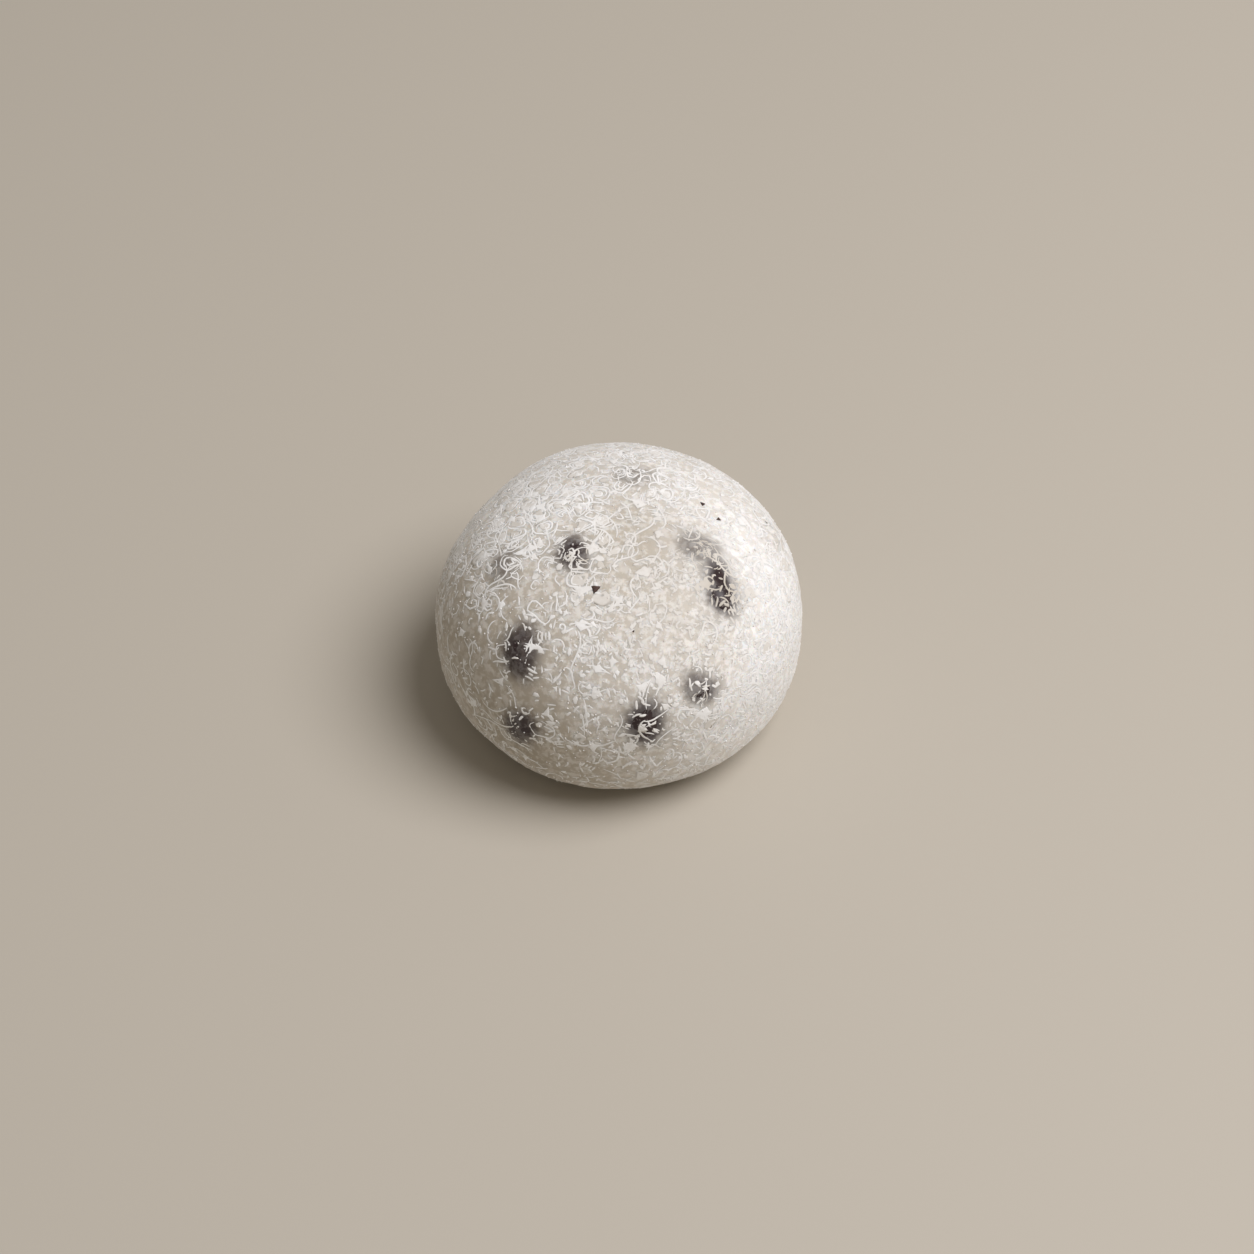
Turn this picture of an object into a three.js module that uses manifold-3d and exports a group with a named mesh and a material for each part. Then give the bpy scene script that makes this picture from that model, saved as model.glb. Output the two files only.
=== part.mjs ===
// Mochi rice cake with whole cooked beans: a soft, hand-rounded cake of pounded rice that has settled
// flat on its foot, with dark beans kneaded in so close under the skin that their backs break through.
// Millimetres, +Z up. The origin is the middle of the flat foot, on the surface the cake rests on.
import * as THREE from "three";
import { mergeVertices } from "three/addons/utils/BufferGeometryUtils.js";
import Module from "manifold-3d";

// The cake's form
const cakeWidth = 53; // across its widest level
const widestHeight = 13.6; // from the foot up to that level
const domeRise = 21.3; // from that level up to the top
const underDrop = 16.15; // how far the underside would reach if it had not settled flat
const domeFullness = 2.35; // 2 is an ellipse's curve, and a larger number has fuller shoulders
const underFullness = 2.8;
const doughDetail = 15; // each edge of the starting icosahedron is split into one more part than this

// Where the hands pressed the dough in or left it full. bearing and rise are in degrees, seen from the
// middle of the widest level, bearing from +X; push is outwards, and spread is 1 - cos of its reach.
const handMarks = [
  { bearing: 148, rise: 25, push: -1.0, spread: 0.1 },
  { bearing: -140, rise: -29, push: -0.55, spread: 0.05 },
  { bearing: -169, rise: -10, push: -0.15, spread: 0.05 },
  { bearing: -83, rise: -41, push: -0.45, spread: 0.05 },
  { bearing: 70, rise: -12, push: -0.4, spread: 0.06 },
  { bearing: 15, rise: -32, push: -0.35, spread: 0.04 },
];

// The beans
const beanLength = 8.4;
const beanWidth = 6.6;
const beanThickness = 5.8;
const beanBend = 0.07; // how far the middle bows sideways, as a share of the length
const beanDetail = 2;
const skinLift = 0.3; // how far the skin swells over a bean
const skinLiftReach = 3.4; // where that swelling has died away to 0.6 of its height
const pocketGap = 0.3; // between a bean and the pocket it lies in

// turn is the long way of the bean, in degrees from level. proud is how far its back stands out of the
// smooth form of the cake, and size is its share of the usual bean.
const beans = [
  { name: "bean_crown", bearing: 75, rise: 67, turn: 13, proud: 0.42, size: 0.83 },
  { name: "bean_upper_left", bearing: -133, rise: 67, turn: 148, proud: 0.55, size: 0.85 },
  { name: "bean_left_shoulder", bearing: -158, rise: 47, turn: 152, proud: 0.4, size: 0.86 },
  { name: "bean_upper_right", bearing: -22, rise: 58, turn: 112, proud: 0.68, size: 0.83 },
  { name: "bean_right_shoulder", bearing: -37, rise: 43, turn: 66, proud: 0.74, size: 0.8 },
  { name: "bean_left_flank", bearing: -126, rise: 31, turn: 109, proud: 0.72, size: 1.06 },
  { name: "bean_lower_left", bearing: -120, rise: 6, turn: 62, proud: 0.61, size: 0.92 },
  { name: "bean_front", bearing: -81, rise: 15, turn: 85, proud: 0.76, size: 1.05 },
  { name: "bean_lower_right", bearing: -62, rise: 22, turn: 136, proud: 0.5, size: 0.8 },
  { name: "bean_right_edge", bearing: 9, rise: 32, turn: 158, proud: 0.5, size: 0.84 },
  { name: "bean_back_right", bearing: 35, rise: 6, turn: 110, proud: 0.62, size: 0.95 },
  { name: "bean_back_high", bearing: 66, rise: 18, turn: 15, proud: 0.55, size: 0.9 },
  { name: "bean_back_low", bearing: 97, rise: -7, turn: 85, proud: 0.66, size: 1.02 },
  { name: "bean_back_left", bearing: 125, rise: 14, turn: 55, proud: 0.6, size: 0.96 },
  { name: "bean_left_side", bearing: 157, rise: -2, turn: 150, proud: 0.62, size: 0.9 },
];

const doughMaterial = new THREE.MeshStandardMaterial({ color: 0xdcd4ca, roughness: 0.75, metalness: 0 });
const beanMaterial = new THREE.MeshStandardMaterial({ color: 0x3a2d2e, roughness: 0.5, metalness: 0 });

const wasm = await Module();
wasm.setup();

function solidOf(geometry) {
  const bare = geometry.clone();
  bare.deleteAttribute("normal");
  bare.deleteAttribute("uv");
  const merged = mergeVertices(bare);
  return new wasm.Manifold(
    new wasm.Mesh({
      numProp: 3,
      vertProperties: merged.attributes.position.array,
      triVerts: new Uint32Array(merged.index.array),
    }),
  );
}

function geometryOf(solid) {
  const { numProp, vertProperties, triVerts } = solid.getMesh();
  const geometry = new THREE.BufferGeometry();
  const vertices = new THREE.InterleavedBuffer(vertProperties, numProp);
  geometry.setAttribute("position", new THREE.InterleavedBufferAttribute(vertices, 3, 0));
  geometry.setIndex(new THREE.BufferAttribute(triVerts, 1));
  return geometry;
}

// The unit vector at a bearing and a rise.
function towards(bearing, rise) {
  const polar = THREE.MathUtils.degToRad(90 - rise);
  const around = THREE.MathUtils.degToRad(bearing);
  return new THREE.Vector3(
    Math.sin(polar) * Math.cos(around),
    Math.sin(polar) * Math.sin(around),
    Math.cos(polar),
  );
}

// How far the hand-rounded form reaches from the middle of its widest level along a unit vector: a
// superellipse turned round Z, fuller below that level than above it, with the hand marks added.
function formReach(way) {
  const level = Math.hypot(way.x, way.y) / (cakeWidth / 2);
  const above = way.z >= 0;
  const height = Math.abs(way.z) / (above ? domeRise : underDrop);
  const fullness = above ? domeFullness : underFullness;
  let reach = (level ** fullness + height ** fullness) ** (-1 / fullness);
  for (const mark of handMarks) {
    const away = way.dot(towards(mark.bearing, mark.rise)) - 1;
    reach += mark.push * Math.exp(away / mark.spread);
  }
  return reach;
}

const middle = new THREE.Vector3(0, 0, widestHeight);

function formPoint(way) {
  return way.clone().multiplyScalar(formReach(way)).add(middle);
}

// Where a bean lies: a frame with X along it, Y across it and Z straight out of the cake, whose origin
// is the point of the form above the bean.
function seatOf(bean) {
  const way = towards(bean.bearing, bean.rise);
  const step = 0.01;
  const east = new THREE.Vector3(-way.y, way.x, 0).normalize();
  const north = way.clone().cross(east);
  const point = formPoint(way);
  const along = (side) => formPoint(way.clone().addScaledVector(side, step).normalize()).sub(point);
  const out = along(east).cross(along(north)).normalize();
  const level = east.clone().addScaledVector(out, -east.dot(out)).normalize();
  const long = level.applyAxisAngle(out, THREE.MathUtils.degToRad(bean.turn));
  const frame = new THREE.Matrix4().makeBasis(long, out.clone().cross(long), out);
  return { point, out, frame };
}

const seats = beans.map(seatOf);

// The skin's own reach, which swells a little over each bean.
function skinReach(way) {
  const point = formPoint(way);
  let reach = formReach(way);
  for (const seat of seats) {
    const share = point.distanceTo(seat.point) / skinLiftReach;
    reach += skinLift * Math.exp(-0.5 * share * share);
  }
  return reach;
}

// A bean in its own frame, bowed a little, and grown all over by grow.
function beanGeometry(bean, grow) {
  const geometry = mergeVertices(bareSphere(beanDetail));
  const half = new THREE.Vector3(beanLength, beanWidth, beanThickness).multiplyScalar(bean.size / 2);
  geometry.scale(half.x, half.y, half.z);
  const position = geometry.attributes.position;
  for (let i = 0; i < position.count; i++) {
    const share = position.getX(i) / half.x;
    position.setY(i, position.getY(i) + beanBend * beanLength * (0.5 - share * share));
  }
  geometry.computeVertexNormals();
  const normal = geometry.attributes.normal;
  for (let i = 0; i < position.count; i++) {
    position.setXYZ(
      i,
      position.getX(i) + grow * normal.getX(i),
      position.getY(i) + grow * normal.getY(i),
      position.getZ(i) + grow * normal.getZ(i),
    );
  }
  return geometry;
}

function bareSphere(detail) {
  const sphere = new THREE.IcosahedronGeometry(1, detail);
  sphere.deleteAttribute("normal");
  sphere.deleteAttribute("uv");
  return sphere;
}

function placed(geometry, bean, seat) {
  const depth = (beanThickness * bean.size) / 2 - bean.proud;
  const centre = seat.point.clone().addScaledVector(seat.out, -depth);
  return geometry.applyMatrix4(seat.frame.clone().setPosition(centre));
}

function doughGeometry() {
  const skin = bareSphere(doughDetail);
  const position = skin.attributes.position;
  const way = new THREE.Vector3();
  for (let i = 0; i < position.count; i++) {
    way.fromBufferAttribute(position, i).normalize();
    const point = way.clone().multiplyScalar(skinReach(way)).add(middle);
    position.setXYZ(i, point.x, point.y, point.z);
  }
  const room = 2 * cakeWidth; // a block with room for the whole cake, whose bottom is the foot's level
  const aboveFoot = new THREE.BoxGeometry(room, room, room).translate(0, 0, room / 2);
  let dough = solidOf(skin).intersect(solidOf(aboveFoot));
  beans.forEach((bean, i) => {
    dough = dough.subtract(solidOf(placed(beanGeometry(bean, pocketGap), bean, seats[i])));
  });
  return geometryOf(dough);
}

const cake = new THREE.Group();

const dough = new THREE.Mesh(doughGeometry(), doughMaterial);
dough.name = "dough";
cake.add(dough);

beans.forEach((bean, i) => {
  const mesh = new THREE.Mesh(placed(beanGeometry(bean, 0), bean, seats[i]), beanMaterial);
  mesh.name = bean.name;
  cake.add(mesh);
});

export default cake;
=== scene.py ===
import bpy
import numpy as np
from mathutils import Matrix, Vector


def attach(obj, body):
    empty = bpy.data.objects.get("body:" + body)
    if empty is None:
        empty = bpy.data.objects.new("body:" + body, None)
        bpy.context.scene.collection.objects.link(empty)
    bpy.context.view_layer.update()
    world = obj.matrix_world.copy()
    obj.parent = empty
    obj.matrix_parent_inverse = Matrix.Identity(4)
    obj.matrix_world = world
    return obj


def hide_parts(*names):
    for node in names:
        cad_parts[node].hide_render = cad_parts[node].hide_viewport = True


# A mochi rice cake rolled in starch, with whole cooked beans close under its skin, on a plain pale table.
# Shapes are worked out in millimetres in the cake's own frame, and addPiece turns them to metres.
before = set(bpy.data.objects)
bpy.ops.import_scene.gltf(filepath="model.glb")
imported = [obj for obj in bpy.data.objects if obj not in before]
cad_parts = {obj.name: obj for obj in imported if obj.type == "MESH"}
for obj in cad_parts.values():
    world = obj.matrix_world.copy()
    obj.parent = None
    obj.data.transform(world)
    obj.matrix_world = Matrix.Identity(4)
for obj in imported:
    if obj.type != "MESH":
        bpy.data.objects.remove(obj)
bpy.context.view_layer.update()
millimetre = 0.001
print("frame loaded with", len(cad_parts), "nodes")


def unit(vectors):
    return vectors / np.linalg.norm(vectors, axis=-1, keepdims=True)


# The unit vector at a bearing from +X and a rise above level, both in degrees.
def towards(bearing, rise):
    around = np.radians(bearing)
    up = np.radians(rise)
    return np.stack([np.cos(up) * np.cos(around), np.cos(up) * np.sin(around), np.sin(up)], axis=-1)


# Beside each unit vector, a level direction and the one at right angles to it that climbs.
def levelAndClimb(way):
    nudge = 1e-9  # gives the level direction a length at the very top
    level = unit(np.stack([-way[..., 1], way[..., 0] + nudge, 0 * way[..., 0]], axis=-1))
    return level, np.cross(way, level)


# The sum of changes that each die away as a bell from a bearing and rise: the change, times e to the
# power of (the cosine of the angle off it - 1) / its spread.
def bells(way, places):
    total = np.zeros(way.shape[:-1])
    for bearing, rise, change, spread in places:
        total += change * np.exp((way @ towards(bearing, rise) - 1) / spread)
    return total


# Smooth noise from 0 to 1: random values at the corners of cubic cells, blended smoothly between corners.
def smoothNoise(points, cell, seed):
    period = 32  # cells before the noise repeats
    corners = np.random.default_rng(seed).random((period, period, period))
    place = points / cell
    low = np.floor(place).astype(int)
    share = place - low
    share = share * share * (3 - 2 * share)
    total = np.zeros(points.shape[:-1])
    for corner in np.ndindex(2, 2, 2):
        weight = np.prod(np.abs(1 - np.array(corner) - share), axis=-1)
        x, y, z = np.moveaxis((low + corner) % period, -1, 0)
        total += weight * corners[x, y, z]
    return total


# The larger of two heights, with a rounded join where they meet: half of (their sum + the root of (their
# difference squared + the join's width squared)).
def smoothMax(first, second, join):
    return 0.5 * (first + second + np.sqrt((first - second) ** 2 + join * join))


# 0 below low, 1 above high, and 3 t^2 - 2 t^3 between them, where t is the share of the way.
def smoothStep(value, low, high):
    share = np.clip((value - low) / (high - low), 0, 1)
    return share * share * (3 - 2 * share)


# Puts one closed shape into the scene. faceSets are arrays of corner numbers, one row for each face, and
# they are turned over where the volume they enclose comes out negative.
def addPiece(name, points, faceSets, material, values):
    volume = 0.0
    for faces in faceSets:
        for i in range(1, faces.shape[1] - 1):
            a, b, c = points[faces[:, 0]], points[faces[:, i]], points[faces[:, i + 1]]
            volume += np.einsum("ij,ij->", a, np.cross(b, c)) / 6
    if volume < 0:
        faceSets = [faces[:, ::-1] for faces in faceSets]
    rows = [row for faces in faceSets for row in faces.tolist()]
    mesh = bpy.data.meshes.new(name)
    mesh.from_pydata((points * millimetre).tolist(), [], rows)
    mesh.shade_smooth()
    for label, numbers in values.items():
        layer = mesh.attributes.new(label, "FLOAT", "POINT")
        layer.data.foreach_set("value", np.asarray(numbers, np.float32).ravel())
    mesh.materials.append(material)
    piece = bpy.data.objects.new(name, mesh)
    bpy.context.scene.collection.objects.link(piece)
    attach(piece, "root")
    triangles = sum(len(faces) * (faces.shape[1] - 2) for faces in faceSets)
    print(name, "has", triangles, "triangles and", round(abs(volume), 2), "cubic mm")
    return piece


# Many shapes of one kind in one mesh: points as shapes by corners, with the same faces for each shape.
def joined(points, faceSets):
    count, corners = points.shape[:2]
    offset = (np.arange(count) * corners)[:, None, None]
    return points.reshape(-1, 3), [(faces[None] + offset).reshape(-1, faces.shape[1]) for faces in faceSets]


cake = {
    "width": 53.0,  # across its widest level
    "widestHeight": 13.6,  # from the foot up to that level
    "domeRise": 21.3,  # from that level up to the top
    "underDrop": 16.15,  # how far the underside would reach if it had not settled flat
    "domeFullness": 2.35,  # 2 is an ellipse's curve, and a larger number has fuller shoulders
    "underFullness": 2.8,
    # Where the hands pressed the dough in: bearing, rise, push outwards in mm, and spread.
    "handMarks": [
        (148, 25, -1.0, 0.1),
        (-140, -29, -0.55, 0.05),
        (-169, -10, -0.15, 0.05),
        (-83, -41, -0.45, 0.05),
        (70, -12, -0.4, 0.06),
        (15, -32, -0.35, 0.04),
    ],
}
middle = np.array([0.0, 0.0, cake["widestHeight"]])


# How far the form reaches from the middle of its widest level: (level share ^ fullness + height share ^
# fullness) ^ (-1 / fullness), which is a superellipse turned round Z, with the hand marks added.
def formReach(way):
    level = np.hypot(way[..., 0], way[..., 1]) / (cake["width"] / 2)
    above = way[..., 2] >= 0
    height = np.abs(way[..., 2]) / np.where(above, cake["domeRise"], cake["underDrop"])
    fullness = np.where(above, cake["domeFullness"], cake["underFullness"])
    return (level**fullness + height**fullness) ** (-1 / fullness) + bells(way, cake["handMarks"])


def formPoint(way):
    return way * formReach(way)[..., None] + middle


beanForm = {
    "length": 8.4, "width": 6.6, "thickness": 5.8,
    "bend": 0.07,  # how far the middle bows sideways, as a share of the length
}

# For each bean: bearing and rise of its place, turn of its long way from level, how proud its back stands
# of the cake's form in mm, its share of the usual size, the dough over its back in mm, and how dark it
# shows.
beans = {
    "bean_crown": (75, 67, 13, 0.42, 0.83, 0.12, 0.72),
    "bean_upper_left": (-133, 67, 148, 0.55, 0.85, -0.02, 1.0),
    "bean_left_shoulder": (-158, 47, 152, 0.4, 0.86, 0.08, 0.75),
    "bean_upper_right": (-22, 58, 112, 0.68, 0.83, 0.1, 0.8),
    "bean_right_shoulder": (-37, 43, 66, 0.74, 0.8, -0.12, 1.0),
    "bean_left_flank": (-126, 31, 109, 0.72, 1.06, -0.02, 0.97),
    "bean_lower_left": (-120, 6, 62, 0.61, 0.92, 0.03, 1.0),
    "bean_front": (-81, 15, 85, 0.76, 1.05, -0.15, 1.0),
    "bean_lower_right": (-62, 22, 136, 0.5, 0.8, 0.0, 0.95),
    "bean_right_edge": (9, 32, 158, 0.5, 0.84, 0.3, 0.4),
    "bean_back_right": (35, 6, 110, 0.62, 0.95, 0.0, 1.0),
    "bean_back_high": (66, 18, 15, 0.55, 0.9, 0.08, 0.85),
    "bean_back_low": (97, -7, 85, 0.66, 1.02, -0.03, 1.0),
    "bean_back_left": (125, 14, 55, 0.6, 0.96, 0.06, 0.85),
    "bean_left_side": (157, -2, 150, 0.62, 0.9, 0.1, 0.8),
}


# Where a bean lies: the point of the form above it, its centre, and rows that point along it, across it
# and out of the cake.
def seatOf(bearing, rise, turn, proud, size):
    way = towards(bearing, rise)
    step = 0.01  # in radians, to the places beside it that give the slope
    level, climb = levelAndClimb(way)
    point = formPoint(way)
    besideIt = formPoint(unit(way + step * level)) - point
    aboveIt = formPoint(unit(way + step * climb)) - point
    out = unit(np.cross(besideIt, aboveIt))
    level = unit(level - out * (level @ out))
    angle = np.radians(turn)
    along = np.cos(angle) * level + np.sin(angle) * np.cross(out, level)
    centre = point - out * (beanForm["thickness"] * size / 2 - proud)
    rows = np.stack([along, np.cross(out, along), out])
    return {"point": point, "centre": centre, "rows": rows, "size": size}


seats = {name: seatOf(*values[:5]) for name, values in beans.items()}


def beanHalves(size):
    return np.array([beanForm["length"], beanForm["width"], beanForm["thickness"]]) * size / 2


# How far the middle of a bean bows sideways at a share of its half length.
def beanBow(share):
    return beanForm["bend"] * beanForm["length"] * (0.5 - share * share)


# About how many millimetres a point lies outside the bean, below 0 inside it: (level - 1) / the slope of
# the level, where the level is the length of the place over the bean's halves.
def depthOverBean(point, seat):
    centreLevel = 0.05  # keeps the slope finite at the bean's centre
    halves = beanHalves(seat["size"])
    local = (point - seat["centre"]) @ seat["rows"].T
    local[..., 1] -= beanBow(np.clip(local[..., 0] / halves[0], -1, 1))
    level = np.linalg.norm(local / halves, axis=-1)
    slope = np.linalg.norm(local / halves**2, axis=-1) / np.maximum(level, centreLevel)
    return (level - 1) / slope


skin = {
    "cells": 300,  # grid cells across the square that is carried onto the dome
    "footEdge": (95.0, 160.0),  # degrees from the top between which the form meets the table
    "footRings": [0.97, 0.85, 0.6, 0.3],  # shares of the way out to the foot's edge
    "lift": 0.3,  # how far the skin swells over a bean
    "liftReach": 3.4,  # where that swelling has died away to 0.6 of its height
    "relief": [(9.0, 0.22, 11), (3.2, 0.15, 12), (1.3, 0.1, 13), (0.6, 0.055, 14)],  # cell, height and seed
    "smoothFoot": 2.5,  # mm above the table over which the relief comes in
    "filmUnevenness": 0.12,  # how far the dough over a bean's back varies, in mm
    "filmGrains": [(0.9, 1.0, 21), (0.4, 0.6, 22)],  # over what distance, with what share and seed
    "drapeJoin": 0.22,  # how softly the skin drapes over a bean's back
    "shadeDepth": 0.75,  # dough this thick hides two thirds of a bean's darkness
    "shadeEdge": 1.6,  # 1 fades from the bean's skin on, and a larger number keeps its middle evenly dark
    "starchOverBeans": 0.03,  # mm between a bare bean and the starch that lies on it
    # Where a bean has stained the dough beside it: bearing, rise, darkness and spread.
    "stains": [(-16, 63, 0.42, 0.004), (-20, 57, 0.6, 0.005), (-26, 51, 0.5, 0.004), (-33, 48, 0.95, 0.005),
               (-37, 41, 0.7, 0.007)],
}


# The skin along each unit vector, and how much of a bean's darkness shows through it there: e to the
# power of -(dough over the bean / shadeDepth) ^ shadeEdge. The dough over a bean is what would lie there
# anyway or the bean's own film, whichever is more, and never less than thinnest. Below 0 the bean's back
# stands out.
def skinAndShade(way, thinnest=-1.0):
    form = formPoint(way)
    reach = formReach(way)
    for seat in seats.values():
        share = np.linalg.norm(form - seat["point"], axis=-1) / skin["liftReach"]
        reach = reach + skin["lift"] * np.exp(-0.5 * share * share)
    clearOfFoot = smoothStep(form[..., 2], 0.0, skin["smoothFoot"])
    for cell, height, seed in skin["relief"]:
        reach = reach + clearOfFoot * height * (smoothNoise(form, cell, seed) - 0.5)
    point = way * reach[..., None] + middle
    grain = [share * (2 * smoothNoise(form, cell, seed) - 1) for cell, share, seed in skin["filmGrains"]]
    shade = bells(way, skin["stains"])
    for name, seat in seats.items():
        film, darkness = beans[name][5:]
        depth = depthOverBean(point, seat)
        draped = smoothMax(depth, film + skin["filmUnevenness"] * sum(grain), skin["drapeJoin"])
        draped = np.maximum(draped, thinnest)
        point = point + way * (draped - depth)[..., None]
        hidden = (np.maximum(draped, 0) / skin["shadeDepth"]) ** skin["shadeEdge"]
        shade = np.maximum(shade, darkness * np.exp(-hidden))
    return point, shade


# Where starch lies along each unit vector, over the skin and over the bare backs of beans, and the
# outward normal there.
def skinFrame(way):
    step = 0.005  # in radians, to the places beside it that give the slope
    level, climb = levelAndClimb(way)
    point = skinAndShade(way, skin["starchOverBeans"])[0]
    alongLevel = skinAndShade(unit(way + step * level), skin["starchOverBeans"])[0] - point
    alongClimb = skinAndShade(unit(way + step * climb), skin["starchOverBeans"])[0] - point
    return point, unit(np.cross(alongLevel, alongClimb))


# How much starch lies caked on the skin, where 1 is the usual, and how much of the dough's own tone a thin
# film of it hides; painted light and shade are added to that film. Below 0 there is no film, and the dough
# is painted darker as painted shade.
dust = {
    "range": (0.03, 1.3),  # of what is caked
    "bells": [(-150, -6, -0.3, 0.16), (-100, -22, -0.1, 0.12), (150, 48, 0.2, 0.2), (0, 10, 0.3, 0.3),
              (-50, 77, -0.15, 0.05), (-48, 15, 0.3, 0.06)],
    "noise": [(4.5, 0.35, 41), (1.8, 0.25, 42)],  # cell in mm, change and seed
    "bareBeans": 0.3,  # how much less of it cakes where a bean shows
    "lowest": 0.06,  # mm above the table, so that no strand runs under the foot
    "film": 1.33,  # before its bells are added and it is kept within its range
    # Some of these bells are painted light and shade: more film, so whiter, low on the front and right and
    # at the upper left; less on the lit crown and right; and below 0 low on the left, the shaded side.
    "filmAndPaintedLightBells": [(-36, 39, 0.7, 0.23), (-102, 14, -1.31, 6.0), (-50, 78, -0.3, 0.06),
                  (-98, 18, 0.15, 0.05), (-56, 52, -0.33, 0.06), (-51, 31, -0.32, 0.025),
                  (-48, -2, 0.26, 0.1), (172, 50, 0.14, 0.12), (-160, 10, -0.5, 0.1),
                  (-122, -8, -0.6, 0.07)],
    "filmRange": (-1.0, 0.68),
    # Where the starch is painted less white: painted shade on the crown and the upper front and right,
    # where the light is strongest, and on three beans damp starch as well as painted shade.
    "dampAndPaintedShadeBells": [(-50, 78, -0.22, 0.07), (-75, 55, -0.16, 0.08), (-12, 50, -0.15, 0.12),
                  (-57, 42, -0.25, 0.06), (-35, 44, -0.65, 0.012), (-22, 58, -0.4, 0.01),
                  (-133, 65, -0.25, 0.015)],
}


def dusting(way):
    form = formPoint(way)
    uneven = sum(change * (2 * smoothNoise(form, cell, seed) - 1) for cell, change, seed in dust["noise"])
    return np.clip(1 + bells(way, dust["bells"]) + uneven, *dust["range"])


def caking(way):
    return dusting(way) * (1 - dust["bareBeans"] * skinAndShade(way)[1])


# The film's share at each place, with the painted light and shade of its bells.
def filmAndPaintedLight(way):
    return np.clip(dust["film"] + bells(way, dust["filmAndPaintedLightBells"]), *dust["filmRange"])


# The angle from the top at which the form meets the table, for each bearing, found by halving.
def footEdge(around):
    halvings = 40
    high, low = (np.full(around.shape, np.radians(angle)) for angle in skin["footEdge"])
    for _ in range(halvings):
        half = (high + low) / 2
        isAbove = formPoint(towards(np.degrees(around), 90 - np.degrees(half)))[..., 2] > 0
        high = np.where(isAbove, half, high)
        low = np.where(isAbove, low, half)
    return high


# Unit vectors to a square grid of places: the square is carried onto a disc, ring by ring, and the disc's
# radius r onto the angle from the top, 2 asin(r sin(half the angle of the foot's edge)), so that the
# cells are all about one size and the rim is the foot's edge.
def domeGrid():
    side = np.linspace(-1, 1, skin["cells"] + 1)
    x, y = np.meshgrid(side, side, indexing="ij")
    wide = np.abs(x) > np.abs(y)
    ring = np.where(wide, x, y)
    safe = np.where(ring == 0, 1, ring)
    around = np.where(wide, np.pi / 4 * y / safe, np.pi / 2 - np.pi / 4 * x / safe) + np.pi * (ring < 0)
    polar = 2 * np.arcsin(np.abs(ring) * np.sin(footEdge(around) / 2))
    return towards(np.degrees(around), 90 - np.degrees(polar)).reshape(-1, 3)


# The dome's rim is laid on the table, and smaller rings and a fan close it to a flat foot.
def closeDome(dome):
    along = skin["cells"] + 1
    number = np.arange(along**2).reshape(along, along)
    corners = [number[:-1, :-1], number[1:, :-1], number[1:, 1:], number[:-1, 1:]]
    quads = np.stack(corners, axis=-1).reshape(-1, 4)
    rim = np.concatenate([number[:-1, 0], number[-1, :-1], number[:0:-1, -1], number[0, :0:-1]])
    dome[rim, 2] = 0.0
    centre = dome[rim].mean(axis=0)
    rings = [centre + (dome[rim] - centre) * share for share in skin["footRings"]]
    points = np.concatenate([dome, *rings, centre[None]])
    loops = [rim] + [len(dome) + i * len(rim) + np.arange(len(rim)) for i in range(len(rings))]
    foot = [np.stack([b, np.roll(b, -1), np.roll(a, -1), a], axis=-1) for a, b in zip(loops, loops[1:])]
    fan = np.stack([np.full(len(rim), len(points) - 1), np.roll(loops[-1], -1), loops[-1]], axis=-1)
    return points, [quads, *foot, fan]


def makeDough(material):
    dome, shade = skinAndShade(domeGrid())
    points, faceSets = closeDome(dome)
    shade = np.concatenate([shade, np.zeros(len(points) - len(dome))])
    way = unit(points - middle)
    values = {"beanShade": shade, "starchLies": dusting(way), "starchFilmAndPaintedLight": filmAndPaintedLight(way)}
    dough = addPiece("riceDough", points, faceSets, material, values)
    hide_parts("dough")


beanMesh = {
    "around": 56, "along": 36,
    "wrinkle": 0.06, "wrinkleSize": 1.1, "wrinkleSeed": 31,  # depth and size in mm
}


# A bean is an ellipsoid bowed sideways. Its points are (cos a, sin a cos b, sin a sin b) times its
# halves, where a runs from end to end and b round it, and its skin is a little wrinkled.
def makeBean(name, material):
    seat = seats[name]
    fromEnd = np.linspace(0, np.pi, beanMesh["along"] + 1)[1:-1, None]
    around = np.linspace(0, 2 * np.pi, beanMesh["around"], endpoint=False)[None, :]
    lengthwise = np.cos(fromEnd) * np.ones_like(around)
    girth = np.sin(fromEnd)
    body = np.stack([lengthwise, girth * np.cos(around), girth * np.sin(around)], axis=-1)
    body = np.concatenate([[[1.0, 0, 0]], body.reshape(-1, 3), [[-1.0, 0, 0]]])
    local = body * beanHalves(seat["size"])
    local[:, 1] += beanBow(body[:, 0])
    points = local @ seat["rows"] + seat["centre"]
    wrinkle = smoothNoise(points, beanMesh["wrinkleSize"], beanMesh["wrinkleSeed"]) - 0.5
    points = points + beanMesh["wrinkle"] * wrinkle[:, None] * unit(points - seat["centre"])
    rows, columns = beanMesh["along"] - 1, beanMesh["around"]
    number = 1 + np.arange(rows * columns).reshape(rows, columns)
    after = np.roll(number, -1, axis=1)
    quads = np.stack([number[:-1], number[1:], after[1:], after[:-1]], axis=-1).reshape(-1, 4)
    first = np.stack([np.zeros(columns, int), number[0], after[0]], axis=-1)
    last = np.stack([np.full(columns, len(points) - 1), after[-1], number[-1]], axis=-1)
    bean = addPiece("cooked_" + name, points, [quads, first, last], material, {})
    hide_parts(name)


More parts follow.
